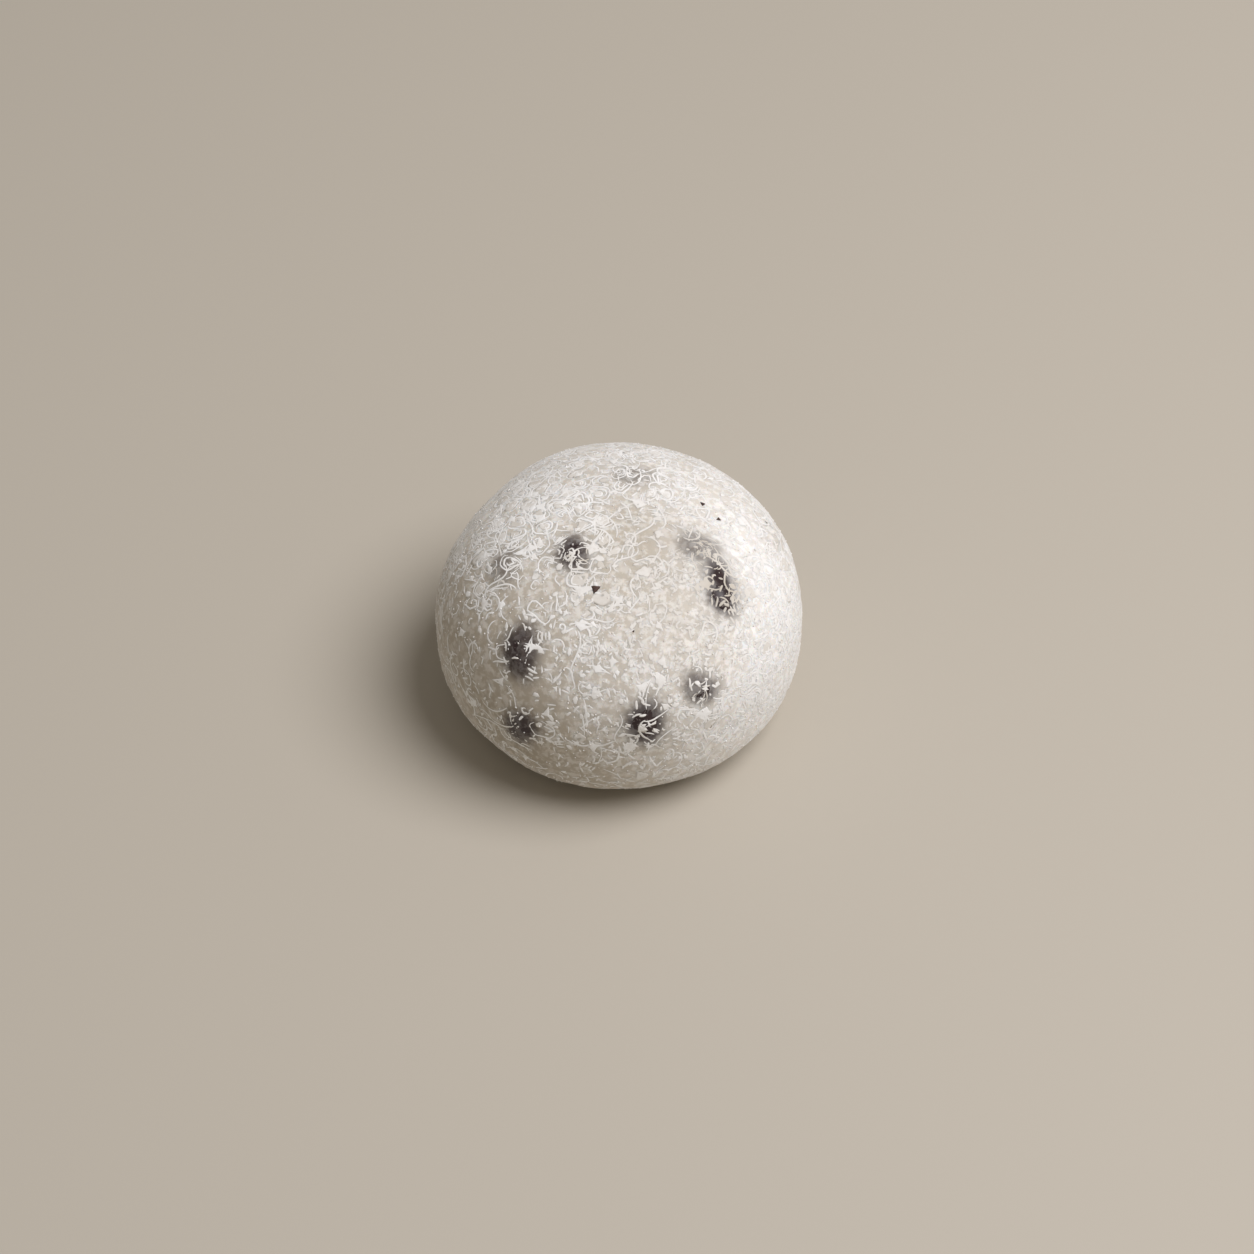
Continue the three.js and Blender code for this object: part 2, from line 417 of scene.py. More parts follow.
# Places spread at random over the skin from lowest mm above the table, thicker where weight is larger.
# Many more are drawn than are wanted, and each is kept with odds in step with its weight and the skin's
# area there.
def spreadPlaces(draw, count, weight, lowest=0.5):
    drawn = 14  # places for each one that is wanted
    sure = 0.98  # the quantile of the odds from which a place is always kept
    way = unit(draw.normal(size=(count * drawn, 3)))
    odds = np.where(formPoint(way)[:, 2] > lowest, weight(way) * formReach(way) ** 2, 0)
    way = way[draw.random(len(way)) < odds / np.quantile(odds, sure)]
    return way[:count]


# How thickly one kind of starch lies: the caking to the power of offBeans, which is large for kinds that
# keep off the beans, times evenly with bells of more or fewer added.
def layWeight(way, style):
    return caking(way) ** style["offBeans"] * np.maximum(style["evenly"] + bells(way, style["bells"]), 0)


def layPlaces(draw, style, count):
    def weight(way):
        return layWeight(way, style)
    return spreadPlaces(draw, count, weight)


# A direction in the skin at each place, turned from level by this many degrees.
def headings(way, turn):
    level, climb = levelAndClimb(way)
    angle = np.radians(turn)[..., None]
    return np.cos(angle) * level + np.sin(angle) * climb


# Moves each place over the skin by distances along its heading and to its left, in millimetres.
def shifted(way, ahead, forward, sideways):
    moved = ahead * forward[..., None] + np.cross(way, ahead) * sideways[..., None]
    return unit(way + moved / formReach(way)[..., None])


# A ridge's cross-section: the place of each corner in widths, which are raised, and how far the others
# sink.
ridgeForm = {"across": (-0.5, -0.27, 0.27, 0.5), "raised": (0, 1, 1, 0), "sink": 0.015}


# Ridges that each follow a line of places on the skin, with the corners of the cross-section at each
# station, and come to a point at both ends. The last result is 1 at the raised corners.
def ridges(way, width, height):
    point, normal = skinFrame(way)
    ahead = np.gradient(point, axis=1)
    across = unit(np.cross(normal, ahead))[:, :, None] * (width[..., None] * ridgeForm["across"])[..., None]
    raised = np.array(ridgeForm["raised"])
    rise = np.where(raised == 1, height[..., None], -ridgeForm["sink"])
    corners = point[:, :, None] + across + normal[:, :, None] * rise[..., None]
    count, stations, around = corners.shape[:3]
    ends = point[:, [0, -1]] - ridgeForm["sink"] * normal[:, [0, -1]]
    points = np.concatenate([ends[:, :1], corners[:, 1:-1].reshape(count, -1, 3), ends[:, 1:]], axis=1)
    number = 1 + np.arange(around * (stations - 2)).reshape(stations - 2, around)
    beside = np.roll(number, -1, axis=1)
    quads = np.stack([number[:-1], number[1:], beside[1:], beside[:-1]], axis=-1).reshape(-1, 4)
    first = np.stack([np.zeros(around, int), number[0], beside[0]], axis=-1)
    final = np.stack([np.full(around, points.shape[1] - 1), beside[-1], number[-1]], axis=-1)
    isRaised = np.concatenate([[0], np.tile(raised, stations - 2), [0]])
    return points, [quads, np.concatenate([first, final])], isRaised


# Joins the starch shapes of one kind into one piece. Each has its own whiteness where it is raised, lowered
# by painted shade on the lit crown and right and on some beans, and fades towards its sunk edge into the
# film that lies round it, which holds painted light and shade.
def addStarch(name, draw, points, faceSets, raised, whiteness, material):
    way = unit(points - middle)
    film = filmAndPaintedLight(way)
    # Painted shade: the bells lower the whiteness on the lit crown and right and on some beans.
    own = draw.uniform(*whiteness, (len(points), 1)) * (1 + bells(way, dust["dampAndPaintedShadeBells"]))
    white = np.maximum(film + (own - film) * raised, 0)
    points[..., 2] = np.maximum(points[..., 2], dust["lowest"])
    points, faceSets = joined(points, faceSets)
    addPiece(name, points, faceSets, material, {"whiteness": white})


curls = {
    "seed": 101, "count": 430, "stations": 10, "length": (1.2, 3.4), "width": (0.28, 0.44),
    "height": 0.04,  # as a share of the width, as for every kind of ridge
    "taper": 0.4,  # 1 thins evenly towards both ends, and a smaller number keeps them round
    "bend": 1.3, "bendGrowth": 1.5,  # spreads of the radians in each mm, and of their growth in each mm
    "whiteness": (0.65, 1.0), "offBeans": 1, "evenly": 1.0,
    "bells": [(-68, 44, -0.9, 0.12), (-105, -5, -0.7, 0.25)],
}

threads = {
    "seed": 102, "count": 380, "stations": 19, "length": (2.6, 7.5), "width": (0.26, 0.42), "height": 0.04,
    "taper": 0.4, "bend": 0.45, "bendGrowth": 0.3,
    "whiteness": (0.85, 1.0), "offBeans": 1, "evenly": 1.0,
    "bells": [(-68, 44, -0.95, 0.14), (-105, -5, -0.4, 0.25)],
}

# Fine short curls that lie close together over some of the beans.
tangles = {
    "seed": 109, "stations": 8, "length": (0.9, 2.4), "width": (0.2, 0.32), "height": 0.035,
    "taper": 0.4, "bend": 1.2, "bendGrowth": 1.0, "whiteness": (0.3, 0.85),
    # Bearing, rise, reach in mm and how many.
    "patches": [(-18, 60, 2.4, 16), (-25, 54, 2.3, 17), (75, 66, 2.6, 10),
                (-152, 47, 2.6, 14), (-133, 66, 2.2, 8), (-62, 21, 1.6, 5)],
}


# Places strewn evenly over round patches: from each patch's middle in any direction, by its reach times
# the square root of a share.
def tanglePlaces(draw, style):
    bearing, rise, reach, many = np.array(style["patches"], dtype=float).T
    which = np.repeat(np.arange(len(many)), many.astype(int))
    start = towards(bearing[which], rise[which])
    ahead = headings(start, draw.uniform(0, 360, len(start)))
    away = reach[which] * np.sqrt(draw.random(len(start)))
    return shifted(start, ahead, away, np.zeros(len(start)))


# Strands that caked starch leaves as the cake is rolled. At s mm from its middle a strand has turned by
# b s + g s^2 / 2 radians, with b and g random by bend and bendGrowth: some are arcs and some are waves.
def makeStrands(name, style, material):
    draw = np.random.default_rng(style["seed"])
    start = tanglePlaces(draw, style) if "patches" in style else layPlaces(draw, style, style["count"])
    count, stations = len(start), style["stations"]
    length = draw.uniform(*style["length"], (count, 1))
    share = np.linspace(0, 1, stations)
    along = (share - 0.5) * length
    bend = draw.normal(0, style["bend"], (count, 1))
    growth = draw.normal(0, style["bendGrowth"], (count, 1))
    angle = bend * along + 0.5 * growth * along**2
    forward = np.cumsum(np.cos(angle), axis=1) * length / (stations - 1)
    sideways = np.cumsum(np.sin(angle), axis=1) * length / (stations - 1)
    forward -= forward.mean(axis=1, keepdims=True)
    sideways -= sideways.mean(axis=1, keepdims=True)
    ahead = headings(start, draw.uniform(0, 360, count))
    way = shifted(start[:, None], ahead[:, None], forward, sideways)
    width = draw.uniform(*style["width"], (count, 1)) * np.sin(np.pi * share) ** style["taper"]
    points, faces, raised = ridges(way, width, width * style["height"])
    addStarch(name, draw, points, faces, raised, style["whiteness"], material)


dashes = {
    "seed": 103, "singles": 1900, "combs": 60, "inComb": 4, "combSpacing": 0.55, "stations": 6,
    "length": (0.6, 1.9), "bow": 0.25, "width": (0.24, 0.48), "height": 0.035, "taper": 0.4,
    "whiteness": (0.75, 1.0), "offBeans": 1, "evenly": 0.8,
    "bells": [(-70, 44, 0.7, 0.14), (-170, 60, -0.5, 0.15)],
}


# Short dashes, single and in combs of a few side by side, each bowed by a parabola.
def makeDashes(material):
    draw = np.random.default_rng(dashes["seed"])
    each = dashes["inComb"]
    single = layPlaces(draw, dashes, dashes["singles"])
    comb = layPlaces(draw, dashes, dashes["combs"])
    start = np.concatenate([single, np.repeat(comb, each, axis=0)])
    singleTurn = draw.uniform(0, 360, len(single))
    combTurn = draw.uniform(0, 360, len(comb))
    turn = np.concatenate([singleTurn, np.repeat(combTurn, each)])
    place = np.tile(np.arange(each) - (each - 1) / 2, len(comb)) * dashes["combSpacing"]
    place = np.concatenate([np.zeros(len(single)), place])[:, None]
    share = np.linspace(0, 1, dashes["stations"])
    along = (share - 0.5) * draw.uniform(*dashes["length"], (len(start), 1))
    bow = draw.normal(0, dashes["bow"], (len(start), 1)) * along**2
    way = shifted(start[:, None], headings(start, turn)[:, None], along, place + bow)
    width = draw.uniform(*dashes["width"], (len(start), 1)) * np.sin(np.pi * share) ** dashes["taper"]
    points, faces, raised = ridges(way, width, width * dashes["height"])
    addStarch("starchDashes", draw, points, faces, raised, dashes["whiteness"], material)


cells = {
    "seed": 104, "tried": 2600, "apart": 1.7,  # mm between seeds
    "nearest": 12,  # neighbours that bound a cell
    "roundness": 16,  # a smaller number rounds a cell's corners more
    "largest": 2.0, "sway": 0.1,  # mm from a seed to its cell's edge, and how uneven that is
    "rings": (0.9, 0.58, 0.3),  # as shares of the way out to the cell's edge
    "ringOdds": (0.75, 0.6, 0.35),
    "span": (0.35, 0.95),  # how much of the way round an arc goes
    "stations": 24, "width": (0.28, 0.42), "height": 0.04, "taper": 0.4, "whiteness": (0.9, 1.0),
    "offBeans": 6, "evenly": 0.15,
    "bells": [(152, 54, 1.0, 0.15), (-160, 62, 0.6, 0.08), (60, 60, 0.5, 0.08), (40, 15, 0.5, 0.1),
              (-115, 12, 0.2, 0.05), (-70, -12, 0.2, 0.05), (-92, 34, -0.3, 0.06)],
}

panes = {
    "odds": 0.3, "corners": 22, "across": (0.4, 0.95),  # as shares of the cell
    "level": 0.6, "edge": 0.0, "height": 0.012, "sink": 0.015,  # height and sink in mm
    "whiteness": (0.4, 0.68), "shade": 0.1,  # none where more of a bean's darkness shows
}


# The weight of places that are all equally likely.
def alike(way):
    return np.ones(len(way))


# Caked starch cracks into cells, each the ground nearest to its own seed. Gives the seeds, and the angle
# and half the distance to each one's nearest neighbours.
def cellSeeds(draw):
    seeds = spreadPlaces(draw, cells["tried"], alike)
    tooNear = np.cos(cells["apart"] / (cake["width"] / 2))
    seeds = seeds[~np.tril(seeds @ seeds.T > tooNear, -1).any(axis=1)]
    near = np.argsort(-seeds @ seeds.T, axis=1)[:, 1 : 1 + cells["nearest"]]
    offset = formPoint(seeds)[near] - formPoint(seeds)[:, None]
    level, climb = levelAndClimb(seeds)
    forward = (offset * level[:, None]).sum(axis=-1)
    sideways = (offset * climb[:, None]).sum(axis=-1)
    return seeds, np.arctan2(sideways, forward), np.hypot(forward, sideways) / 2


# How far cells reach at some angles: the sum, over the neighbours, of (cosine of the angle to the
# neighbour / half its distance) to a power, raised to -1 / that power, which rounds the corners. Two
# waves sway it.
def cellReach(draw, angle, neighbour, half):
    closeness = np.maximum(np.cos(angle[..., None] - neighbour[:, None]), 0) / half[:, None]
    reach = (closeness ** cells["roundness"]).sum(axis=-1) ** (-1 / cells["roundness"])
    sway = 1 + cells["sway"] * np.cos(2 * angle + draw.uniform(0, 2 * np.pi, (len(angle), 1)))
    return np.minimum(reach, cells["largest"]) * sway


# Arcs that run round inside the cells, and panes that fill some of them.
def makeCells(material):
    draw = np.random.default_rng(cells["seed"])
    seeds, neighbour, half = cellSeeds(draw)
    level = levelAndClimb(seeds)[0]
    odds = layWeight(seeds, cells)
    ringDraw = draw.random((len(seeds), len(cells["rings"])))
    which, ring = np.nonzero(ringDraw < odds[:, None] * cells["ringOdds"])
    share = np.linspace(0, 1, cells["stations"])
    span = 2 * np.pi * draw.uniform(*cells["span"], (len(which), 1))
    angle = draw.uniform(0, 2 * np.pi, (len(which), 1)) + span * share
    reach = cellReach(draw, angle, neighbour[which], half[which]) * np.array(cells["rings"])[ring][:, None]
    start, ahead = seeds[which][:, None], level[which][:, None]
    way = shifted(start, ahead, reach * np.cos(angle), reach * np.sin(angle))
    width = draw.uniform(*cells["width"], (len(which), 1)) * np.sin(np.pi * share) ** cells["taper"]
    points, faces, raised = ridges(way, width, width * cells["height"])
    addStarch("starchCells", draw, points, faces, raised, cells["whiteness"], material)

    clear = skinAndShade(seeds)[1] < panes["shade"]
    which = np.nonzero((draw.random(len(seeds)) < odds * panes["odds"]) & clear)[0]
    angle = np.tile(np.linspace(0, 2 * np.pi, panes["corners"], endpoint=False), (len(which), 1))
    reach = cellReach(draw, angle, neighbour[which], half[which])
    reach = reach * draw.uniform(*panes["across"], (len(which), 1))
    forward, sideways = reach * np.cos(angle), reach * np.sin(angle)
    points, faces, raised = patches(seeds[which], level[which], forward, sideways, panes)
    addStarch("starchPanes", draw, points, faces, raised, panes["whiteness"], material)


# Low patches, each round one place. Its rim, given by distances along and across its heading, is sunk in
# the skin, a ring at level times those distances is raised as high as its middle, and its underside comes
# to a point. The last result is the share of the patch's own whiteness at each corner: edge at the rim.
def patches(start, ahead, forward, sideways, form):
    start, ahead = start[:, None], ahead[:, None]
    rim, rimNormal = skinFrame(shifted(start, ahead, forward, sideways))
    ring, ringNormal = skinFrame(shifted(start, ahead, form["level"] * forward, form["level"] * sideways))
    centre, normal = skinFrame(start)
    outline = [rim - form["sink"] * rimNormal, ring + form["height"] * ringNormal]
    top, bottom = centre + form["height"] * normal, centre - 2 * form["sink"] * normal
    points = np.concatenate([*outline, top, bottom], axis=1)
    corners = forward.shape[1]
    number = np.arange(corners)
    after = np.roll(number, -1)
    slope = np.stack([number, after, after + corners, number + corners], axis=-1)
    upper = np.stack([number + corners, after + corners, np.full(corners, 2 * corners)], axis=-1)
    lower = np.stack([after, number, np.full(corners, 2 * corners + 1)], axis=-1)
    raised = np.concatenate([np.full(corners, form["edge"]), np.ones(corners + 1), [0]])
    return points, [slope, np.concatenate([upper, lower])], raised


# Patches with a few tips, with one row of values for each: the turn of its length in degrees, its radius
# in mm, its tips, its width as a share of its length and how hollow its sides are. The outline's reach is
# (cosine of half a side / cosine of the angle off the side's middle) raised to the hollowness, which is 1
# for straight sides. One wave round sways it, and each corner is moved a little to make it ragged.
def stars(draw, start, values, form):
    turn, radius, tips, across, hollow = values.T[..., None]
    around = np.linspace(0, 2 * np.pi, form["corners"], endpoint=False)
    half = np.pi / tips
    reach = (np.cos(half) / np.cos(around % (2 * half) - half)) ** hollow * radius
    reach = reach * (1 + form["sway"] * np.cos(around + draw.uniform(0, 2 * np.pi, (len(start), 1))))
    reach = reach * draw.uniform(*form["ragged"], reach.shape)
    forward, sideways = reach * np.cos(around), across * reach * np.sin(around)
    return patches(start, headings(start, turn[:, 0]), forward, sideways, form)


flakes = {
    "seed": 105, "count": 560, "corners": 24, "sway": 0.35, "ragged": (0.92, 1.06),
    "level": 0.75, "edge": 0.3, "height": 0.018, "sink": 0.015,  # height and sink in mm
    "radius": (0.5, 1.7),
    "smallness": 1.8,  # 1 makes all sizes equally common, and a larger number makes more of them small
    "tips": (3, 4), "across": (0.3, 0.9), "hollow": (1.0, 2.6),
    "whiteness": (0.8, 1.0), "offBeans": 5, "evenly": 1.0,
    "bells": [(-150, 55, 0.8, 0.1), (-88, 26, 0.7, 0.06), (-75, 46, -0.4, 0.06)],
    # Large ones, and small ones on beans: bearing, rise, turn, radius, tips, across and hollowness.
    "placed": [
        (-121.5, 71.6, 20, 1.7, 4, 0.9, 2.2),
        (-82.3, 26.5, -90, 2.1, 3, 0.8, 1.6),
        (-123.7, 33.9, 10, 2.7, 4, 0.8, 4.0),
        (-169.8, 41.1, 80, 1.9, 4, 0.45, 2.2),
        (-158.8, 54.3, 120, 1.9, 3, 0.7, 1.5),
        (-112.2, 14.7, -40, 1.3, 3, 0.8, 1.5),
        (-97.2, 32.6, -20, 1.9, 4, 0.4, 2.0),
        (-158.0, 60.0, 40, 1.5, 3, 0.8, 1.6),
        (176.0, 62.0, -30, 1.5, 4, 0.8, 2.0),
        (-34.0, 43.0, 20, 1.0, 4, 0.7, 4.0),
        (-34.7, 39.2, 75, 0.9, 4, 0.6, 3.6),
        (-23.0, 55.6, -35, 1.5, 4, 0.6, 3.4),
        (-61.3, 21.6, 60, 1.1, 4, 0.6, 3.2),
        (-80.5, 14.9, 15, 1.0, 4, 0.7, 4.2),
        (-133.0, 66.0, 80, 1.1, 4, 0.6, 3.2),
    ],
}


# Smudges are broad and soft-edged.
smudges = {
    "seed": 108, "count": 1700, "corners": 12, "sway": 0.3, "ragged": (0.85, 1.1),
    "level": 0.5, "edge": 0.0, "height": 0.015, "sink": 0.015,
    "radius": (0.3, 1.0), "smallness": 1.3, "tips": (3, 4, 6), "across": (0.25, 0.75), "hollow": (0.5, 1.5),
    "whiteness": (0.7, 1.0), "offBeans": 2, "evenly": 0.5,
    "bells": [(-70, 44, 0.8, 0.14), (-170, 60, -0.3, 0.15)],
}


# Stars of random sizes and forms with more small than large, and the placed ones after them.
def makeFlakes(name, style, material):
    draw = np.random.default_rng(style["seed"])
    start = layPlaces(draw, style, style["count"])
    count = len(start)
    values = np.stack([
        draw.uniform(0, 360, count),
        style["radius"][0] + np.ptp(style["radius"]) * draw.random(count) ** style["smallness"],
        draw.choice(style["tips"], count),
        draw.uniform(*style["across"], count),
        draw.uniform(*style["hollow"], count),
    ], axis=1)
    placed = np.reshape(style.get("placed", []), (-1, 7))
    start = np.concatenate([start, towards(placed[:, 0], placed[:, 1])])
    points, faces, raised = stars(draw, start, np.concatenate([values, placed[:, 2:]]), style)
    addStarch(name, draw, points, faces, raised, style["whiteness"], material)


grains = {
    "seed": 106, "count": 2000, "lowest": 0.2, "radius": (0.06, 0.17), "stretch": (0.8, 1.5),
    "whiteness": (0.5, 1.0),
    "evenly": 0.5,  # the share that lies evenly, where the rest follows the dusting
}


def grainWeight(way):
    return grains["evenly"] + (1 - grains["evenly"]) * dusting(way)


# Grains are lumps with six corners and eight faces, half sunk in the skin.
def makeGrains(material):
    draw = np.random.default_rng(grains["seed"])
    start = spreadPlaces(draw, grains["count"], grainWeight, grains["lowest"])
    point, normal = skinFrame(start)
    ahead = headings(start, draw.uniform(0, 360, len(start)))
    radius = draw.uniform(*grains["radius"], (len(start), 1))
    axes = [ahead * draw.uniform(*grains["stretch"], (len(start), 1)), np.cross(normal, ahead), normal]
    points = np.stack([point + sign * axis * radius for axis in axes for sign in (1, -1)], axis=1)
    corners = [(a, b, c) for a in (0, 1) for b in (2, 3) for c in (4, 5)]
    faces = [(a, b, c) if (a + b + c) % 2 == 0 else (b, a, c) for a, b, c in corners]
    addStarch("starchGrains", draw, points, [np.array(faces)], np.ones(6), grains["whiteness"], material)


# Torn bits of seed coat that stuck to the skin.
husks = {
    "seed": 107, "corners": 18, "sway": 0.2, "ragged": (0.88, 1.08),
    "level": 0.6, "edge": 1.0, "height": 0.12, "sink": 0.04,
    # Bearing, rise, turn, radius, tips, across and hollowness.
    "placed": [
        (-104.4, 57.2, -85, 0.95, 3, 0.9, 0.9),
        (18.3, 57.6, 30, 0.6, 3, 0.8, 0.9),
        (6.0, 53.5, 120, 0.65, 3, 0.6, 1.0),
        (-83.0, 43.8, 60, 0.25, 3, 0.8, 0.9),
    ],
}


def makeHusks(material):
    draw = np.random.default_rng(husks["seed"])
    placed = np.array(husks["placed"])
    points, faces, _ = stars(draw, towards(placed[:, 0], placed[:, 1]), placed[:, 2:], husks)
    points, faces = joined(points, faces)
    addPiece("beanHusks", points, faces, material, {})


# sRGB hex to a linear colour with an alpha of 1.
def colour(hexCode):
    parts = [int(hexCode[i : i + 2], 16) / 255 for i in (1, 3, 5)]
    return [p / 12.92 if p <= 0.04045 else ((p + 0.055) / 1.055) ** 2.4 for p in parts] + [1.0]


# Adds a node with its settings, links or sets its inputs, and gives one of its outputs.
def addNode(tree, kind, settings, inputs, output=0):
    node = tree.nodes.new(kind)
    for name, value in settings.items():
        setattr(node, name, value)
    for name, value in inputs.items():
        if isinstance(value, bpy.types.NodeSocket):
            tree.links.new(value, node.inputs[name])
        else:
            node.inputs[name].default_value = value
    return node.outputs[output]


# A new material, whose surface is what fill adds to its empty tree.
def makeMaterial(name, fill):
    material = bpy.data.materials.new(name)
    material.use_nodes = True
    tree = material.node_tree
    tree.nodes.clear()
    output = tree.nodes.new("ShaderNodeOutputMaterial")
    tree.links.new(fill(tree), output.inputs["Surface"])
    return material


# How many times a pattern repeats in a metre, from its size in millimetres.
def perMetre(size):
    return 1 / (size * millimetre)


softDetail = 2.0  # octaves of noise in a soft pattern
crispDetail = 3.0  # and in a crisp one

doughLook = {
    "flesh": "#c4bbac",  # bare dough, a little grey
    "fleshDeep": "#b8ae9e",  # where it is thinner and wetter
    "fleshPaintedShade": "#a29784",  # painted shade: a darker bare dough where the film goes below 0, low on the left and front, the shaded side
    "fleshSize": 4.0,
    "film": "#f9f7f3",
    "beanUnderDough": "#352727",
    "cloudSize": 1.0,  # mm across a cloud in the film
    "cloudRaggedness": 0.6,
    "cloudEdges": (0.42, 0.62),  # noise values between which a cloud thickens
    "clouds": 0.42,  # how much more of the dough's tone the whitest cloud hides
    "cleanBeans": 0.8,  # how much less of it lies where a bean shows
    "gritSize": 0.22, "gritHeight": 0.04,  # in mm, coarser than potato starch so that it shows
    "gritStrength": 0.25,
    "roughness": (0.55, 0.9),  # bare, and dusted
    "ior": 1.42,
    "glow": 1.0,  # mm that light goes in the dough
    "glowColours": (1.0, 0.8, 0.62),  # the share of that for red, green and blue
    "glowShare": 0.6,
    "sheen": 0.4, "sheenRoughness": 0.4,
}


# Steamed glutinous rice dough, pounded and rolled in starch. The dough lets light in, so its edges glow and
# the beans show through; the starch lies on it as a matt white film with thicker clouds. The film and the
# bare dough's tone also carry painted light and shade.
def starchedRiceDough(tree):
    look = doughLook
    place = addNode(tree, "ShaderNodeTexCoord", {}, {}, "Object")
    lies = addNode(tree, "ShaderNodeAttribute", {"attribute_name": "starchLies"}, {}, "Fac")
    thickness = addNode(tree, "ShaderNodeAttribute", {"attribute_name": "starchFilmAndPaintedLight"}, {}, "Fac")
    shade = addNode(tree, "ShaderNodeAttribute", {"attribute_name": "beanShade"}, {}, "Fac")
    tones = addNode(tree, "ShaderNodeTexNoise", {}, {
        "Vector": place, "Scale": perMetre(look["fleshSize"]), "Detail": softDetail})
    flesh = addNode(tree, "ShaderNodeMix", {"data_type": "RGBA"}, {
        "Factor": tones, 6: colour(look["flesh"]), 7: colour(look["fleshDeep"])}, 2)
    # Painted shade: where the film goes below 0, low on the left and front, the shaded side, the bare dough
    # is painted darker.
    paintedShade = addNode(tree, "ShaderNodeMapRange", {}, {
        "Value": thickness, "From Min": 0.0, "From Max": dust["filmRange"][0]})
    bare = addNode(tree, "ShaderNodeMix", {"data_type": "RGBA"}, {
        "Factor": paintedShade, 6: flesh, 7: colour(look["fleshPaintedShade"])}, 2)
    dark = addNode(tree, "ShaderNodeMix", {"data_type": "RGBA"}, {
        "Factor": shade, 6: bare, 7: colour(look["beanUnderDough"])}, 2)
    offBeans = addNode(tree, "ShaderNodeMath", {"operation": "MULTIPLY_ADD"}, {
        0: shade, 1: -look["cleanBeans"], 2: 1.0})
    caked = addNode(tree, "ShaderNodeMath", {"operation": "MULTIPLY"}, {0: lies, 1: offBeans})
    drifts = addNode(tree, "ShaderNodeTexNoise", {}, {
        "Vector": place, "Scale": perMetre(look["cloudSize"]),
        "Detail": crispDetail, "Roughness": look["cloudRaggedness"]})
    cloudiest = addNode(tree, "ShaderNodeMath", {"operation": "MULTIPLY"}, {0: caked, 1: look["clouds"]})
    clouds = addNode(tree, "ShaderNodeMapRange", {"interpolation_type": "SMOOTHSTEP"}, {
        "Value": drifts, "From Min": look["cloudEdges"][0], "From Max": look["cloudEdges"][1],
        "To Min": 0.0, "To Max": cloudiest})
    # The film's share carries painted light and shade: whiter where painted light is added, less white on
    # the lit crown and right.
    even = addNode(tree, "ShaderNodeMath", {"operation": "MAXIMUM"}, {0: thickness, 1: 0.0})
    film = addNode(tree, "ShaderNodeMath", {"operation": "MULTIPLY_ADD", "use_clamp": True}, {
        0: even, 1: offBeans, 2: clouds})
    surface = addNode(tree, "ShaderNodeMix", {"data_type": "RGBA"}, {
        "Factor": film, 6: dark, 7: colour(look["film"])}, 2)
    roughness = addNode(tree, "ShaderNodeMapRange", {}, {
        "Value": lies, "To Min": look["roughness"][0], "To Max": look["roughness"][1]})
    grit = addNode(tree, "ShaderNodeTexNoise", {}, {
        "Vector": place, "Scale": perMetre(look["gritSize"]), "Detail": softDetail})
    bump = addNode(tree, "ShaderNodeBump", {}, {
        "Height": grit, "Strength": look["gritStrength"],
        "Distance": look["gritHeight"] * millimetre})
    return addNode(tree, "ShaderNodeBsdfPrincipled", {}, {
        "Base Color": surface, "Roughness": roughness, "Normal": bump, "IOR": look["ior"],
        "Subsurface Weight": look["glowShare"], "Subsurface Radius": look["glowColours"],
        "Subsurface Scale": look["glow"] * millimetre,
        "Sheen Weight": look["sheen"], "Sheen Roughness": look["sheenRoughness"]})


starchLook = {
    "damp": "#c4bbac", "thick": "#fbfbfa",
    "unevenSize": 0.6, "wornEdges": (0.3, 0.55), "wornLeft": 0.8,  # how much white is left where it is worn
    "roughness": 0.85, "ior": 1.45,
}


# Starch caked into strands, flakes and grains: white and quite matt, fainter where it is thin and damp, and
# where painted shade lowers its whiteness.
def cakedPotatoStarch(tree):
    look = starchLook
    place = addNode(tree, "ShaderNodeTexCoord", {}, {}, "Object")
    whiteness = addNode(tree, "ShaderNodeAttribute", {"attribute_name": "whiteness"}, {}, "Fac")
    uneven = addNode(tree, "ShaderNodeTexNoise", {}, {
        "Vector": place, "Scale": perMetre(look["unevenSize"]), "Detail": softDetail})
    wear = addNode(tree, "ShaderNodeMapRange", {}, {
        "Value": uneven, "From Min": look["wornEdges"][0], "From Max": look["wornEdges"][1],
        "To Min": look["wornLeft"], "To Max": 1.0})
    share = addNode(tree, "ShaderNodeMath", {"operation": "MULTIPLY"}, {0: whiteness, 1: wear})
    tone = addNode(tree, "ShaderNodeMix", {"data_type": "RGBA"}, {
        "Factor": share, 6: colour(look["damp"]), 7: colour(look["thick"])}, 2)
    return addNode(tree, "ShaderNodeBsdfPrincipled", {}, {
        "Base Color": tone, "Roughness": look["roughness"], "IOR": look["ior"]})


seedCoatLook = {
    "dark": "#201718", "light": "#3d2c2c", "mottleSize": 1.4, "mottleEdges": (0.3, 0.7),
    "caught": "#b9aeab", "caughtSize": 0.35, "caughtEdges": (0.57, 0.7), "caughtMost": 0.4,
    "wrinkleSize": 0.4, "wrinkleHeight": 0.05, "wrinkleStrength": 0.4,  # size and height in mm
    "roughness": (0.38, 0.62), "ior": 1.45,
}


